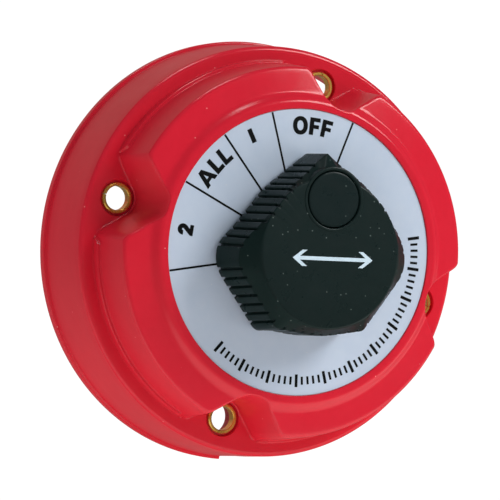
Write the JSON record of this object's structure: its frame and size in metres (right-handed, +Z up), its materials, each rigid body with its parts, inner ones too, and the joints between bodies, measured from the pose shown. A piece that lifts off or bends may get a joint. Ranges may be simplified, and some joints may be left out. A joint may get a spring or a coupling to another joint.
{
  "type": "battery switch",
  "caption": "Round surface-mount marine battery selector switch: deep drafted housing with through-hole pockets, marked dial, grooved pointer knob, detented rotor and rear threaded terminals.",
  "frame": {"origin": "centre of the mounting face, on the knob's axis", "axes": "-Y is the front, out of the dial along the knob's axis; +Z is up with the dial's OFF mark near the top; +X is to the right seen from the front"},
  "size_m": [0.13, 0.0682, 0.1296],
  "materials": {
    "housing_red": "glossy moulded thermoset plastic, red through the material, soft moulded edges",
    "bushing_brass": "rolled brass strip, lightly tarnished",
    "dial_face": "satin pale blue-grey printed dial",
    "bearing_brass": "turned sintered bronze, satin",
    "acetal_cream": "natural acetal, satin",
    "base_black": "black phenolic moulding, satin with flow marks",
    "seal_rubber": "black nitrile rubber",
    "screw_steel": "stainless steel",
    "contact_copper": "bare copper, rubbed bright where the contacts slide",
    "stud_tinned": "tin-plated copper stud",
    "washer_steel": "plated steel",
    "nut_steel": "plated steel, machined facets",
    "knob_black": "greenish-black moulded plastic, satin, dusty in the grooves",
    "plug_black": "greenish-black moulded plastic, satin",
    "shaft_steel": "turned stainless steel",
    "rotor_black": "black glass-filled nylon",
    "spring_steel": "spring steel wire and strip",
    "ball_chrome": "hardened bearing steel balls"
  },
  "bodies": {
    "switch_body": {"housing": "housing_red", "mounting_bushings": "bushing_brass", "dial_plate": "dial_face", "shaft_bushing": "bearing_brass", "detent_ring": "acetal_cream", "terminal_base": "base_black", "base_gasket": "seal_rubber", "base_screws": "screw_steel", "common_contact": "contact_copper", "battery_1_contact": "contact_copper", "battery_2_contact": "contact_copper", "common_stud": "stud_tinned", "battery_1_stud": "stud_tinned", "battery_2_stud": "stud_tinned", "stud_washers": "washer_steel", "stud_clamp_nuts": "nut_steel", "terminal_lock_washers": "washer_steel", "terminal_nuts": "nut_steel"},
    "knob_assembly": {"knob": "knob_black", "lock_plug": "plug_black", "knob_insert": "bushing_brass", "knob_screw": "screw_steel", "drive_shaft": "shaft_steel", "shaft_o_ring": "seal_rubber", "thrust_washer": "acetal_cream", "rotor": "rotor_black", "rotor_clip": "spring_steel", "detent_springs": "spring_steel", "contact_spring": "spring_steel"},
    "ball_left": {"detent_ball_left": "ball_chrome"},
    "ball_right": {"detent_ball_right": "ball_chrome"},
    "contact_bridge": {"moving_contact": "contact_copper"}
  },
  "joints": [
    {"name": "knob_turn", "type": "hinge", "parent": "switch_body", "child": "knob_assembly", "pos_m": [0, 0, 0], "axis": [0, -1, 0], "range_deg": [0, 84]},
    {"name": "ball_left_slide", "type": "slide", "parent": "knob_assembly", "child": "ball_left", "axis": [-0.999, 0, 0.0436], "range_m": [0, 0.0006], "stiffness_N_per_m": 900, "springref_m": 0.003, "deforming": ["detent_springs"]},
    {"name": "ball_right_slide", "type": "slide", "parent": "knob_assembly", "child": "ball_right", "axis": [0.999, 0, -0.0436], "range_m": [0, 0.0006], "stiffness_N_per_m": 900, "springref_m": 0.003, "deforming": ["detent_springs"]},
    {"name": "contact_float", "type": "slide", "parent": "knob_assembly", "child": "contact_bridge", "axis": [0, -1, 0], "range_m": [0, 0.0005], "stiffness_N_per_m": 9000, "springref_m": -0.002, "deforming": ["contact_spring"]}
  ],
  "couplings": [
    {"joint": "ball_right_slide", "follows": "ball_left_slide", "ratio": 1}
  ]
}
